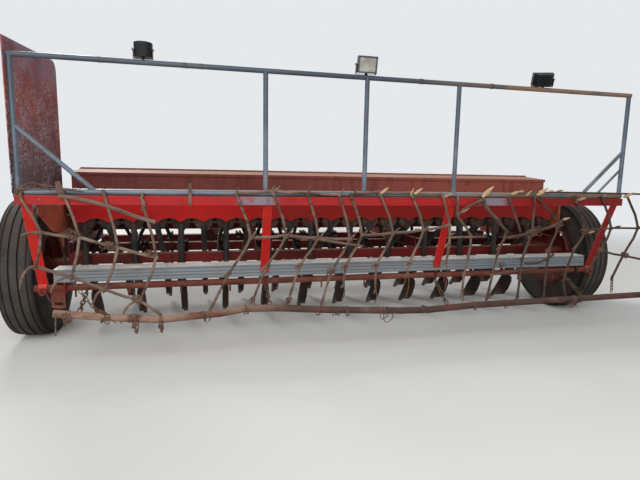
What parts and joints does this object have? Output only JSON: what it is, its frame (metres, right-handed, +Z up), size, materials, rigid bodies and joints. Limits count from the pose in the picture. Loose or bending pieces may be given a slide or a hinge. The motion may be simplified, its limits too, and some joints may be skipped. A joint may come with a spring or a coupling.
{
  "type": "trailed combine seed drill",
  "caption": "Trailed combine seed drill on two ribbed tyres, with a long seed box, scalloped hood, spring tines, rear platform, light rail and hung finger harrows.",
  "frame": {"origin": "on the ground under the middle of the whole machine, halfway between the drag pipe and the hitch", "axes": "+X across the machine to the right seen from behind, +Y the way it is towed, +Z up"},
  "size_m": [5.201, 4.1182, 2.186],
  "materials": {
    "red_paint": "bright red paint, chalky and chipped",
    "frame_red": "old red paint worn to rust",
    "maroon_paint": "faded maroon paint with rust speckle",
    "galvanised": "dull galvanised steel",
    "rusty_steel": "bare steel, brown rust",
    "dark_steel": "dark worn steel",
    "tyre_rubber": "weathered ribbed tyre, dusty",
    "rim_paint": "rusty red rim",
    "tube_rubber": "matt dark grey rubber",
    "lamp_plastic": "black lamp housing",
    "mesh_maroon": "maroon expanded metal"
  },
  "bodies": {
    "drill": {"cross_bars": "frame_red", "members": "frame_red", "end_plates": "frame_red", "box_stands": "frame_red", "drawbar_beams": "frame_red", "drawbar_tongue": "frame_red", "hitch_head": "dark_steel", "jack_sleeve": "dark_steel", "lift_shaft": "frame_red", "axle_left": "frame_red", "axle_right": "frame_red", "lift_ram": "dark_steel", "box_rear_pan": "maroon_paint", "box_front_pan": "maroon_paint", "box_walls": "maroon_paint", "seed_hood": "red_paint", "feed_cups": "dark_steel", "feed_shaft": "rusty_steel", "drive_chain": "rusty_steel", "tubes_rear": "tube_rubber", "tubes_front": "tube_rubber", "tines_rear": "dark_steel", "tines_front": "dark_steel", "boots_rear": "dark_steel", "boots_front": "dark_steel", "plank": "galvanised", "plank_arms": "frame_red", "under_bar": "rusty_steel", "top_bar": "red_paint", "bar_legs": "red_paint", "rail_pipes": "galvanised", "rail_posts": "galvanised", "work_lamps": "lamp_plastic", "mesh_panel": "mesh_maroon", "harrow_left": "rusty_steel", "harrow_middle": "rusty_steel", "harrow_right": "rusty_steel", "drag_pipe": "rusty_steel", "drag_chains": "rusty_steel"},
    "wheel_left": {"tyre_left": "tyre_rubber", "rim_left": "rim_paint"},
    "wheel_right": {"tyre_right": "tyre_rubber", "rim_right": "rim_paint"},
    "jack": {"jack_leg": "rusty_steel"},
    "rear_lid_left": {"lid_rear_left": "maroon_paint"},
    "rear_lid_right": {"lid_rear_right": "maroon_paint"},
    "front_lid_left": {"lid_front_left": "maroon_paint"},
    "front_lid_right": {"lid_front_right": "maroon_paint"}
  },
  "joints": [
    {"name": "wheel_left_spin", "type": "hinge", "parent": "drill", "child": "wheel_left", "pos_m": [-2.4615, -1.0706, 0.558], "axis": [1, 0, 0], "continuous": true},
    {"name": "wheel_right_spin", "type": "hinge", "parent": "drill", "child": "wheel_right", "pos_m": [2.4615, -1.0706, 0.558], "axis": [1, 0, 0], "continuous": true},
    {"name": "jack_slide", "type": "slide", "parent": "drill", "child": "jack", "axis": [0, 0, 1], "range_m": [0, 0.3]},
    {"name": "rear_lid_left_open", "type": "hinge", "parent": "drill", "child": "rear_lid_left", "pos_m": [0, -0.8679, 1.348], "axis": [-1, 0, 0], "range_deg": [0, 80]},
    {"name": "rear_lid_right_open", "type": "hinge", "parent": "drill", "child": "rear_lid_right", "pos_m": [0, -0.8679, 1.348], "axis": [-1, 0, 0], "range_deg": [0, 80]},
    {"name": "front_lid_left_open", "type": "hinge", "parent": "drill", "child": "front_lid_left", "pos_m": [0, -0.8253, 1.348], "axis": [1, 0, 0], "range_deg": [0, 80]},
    {"name": "front_lid_right_open", "type": "hinge", "parent": "drill", "child": "front_lid_right", "pos_m": [0, -0.8253, 1.348], "axis": [1, 0, 0], "range_deg": [0, 80]}
  ]
}
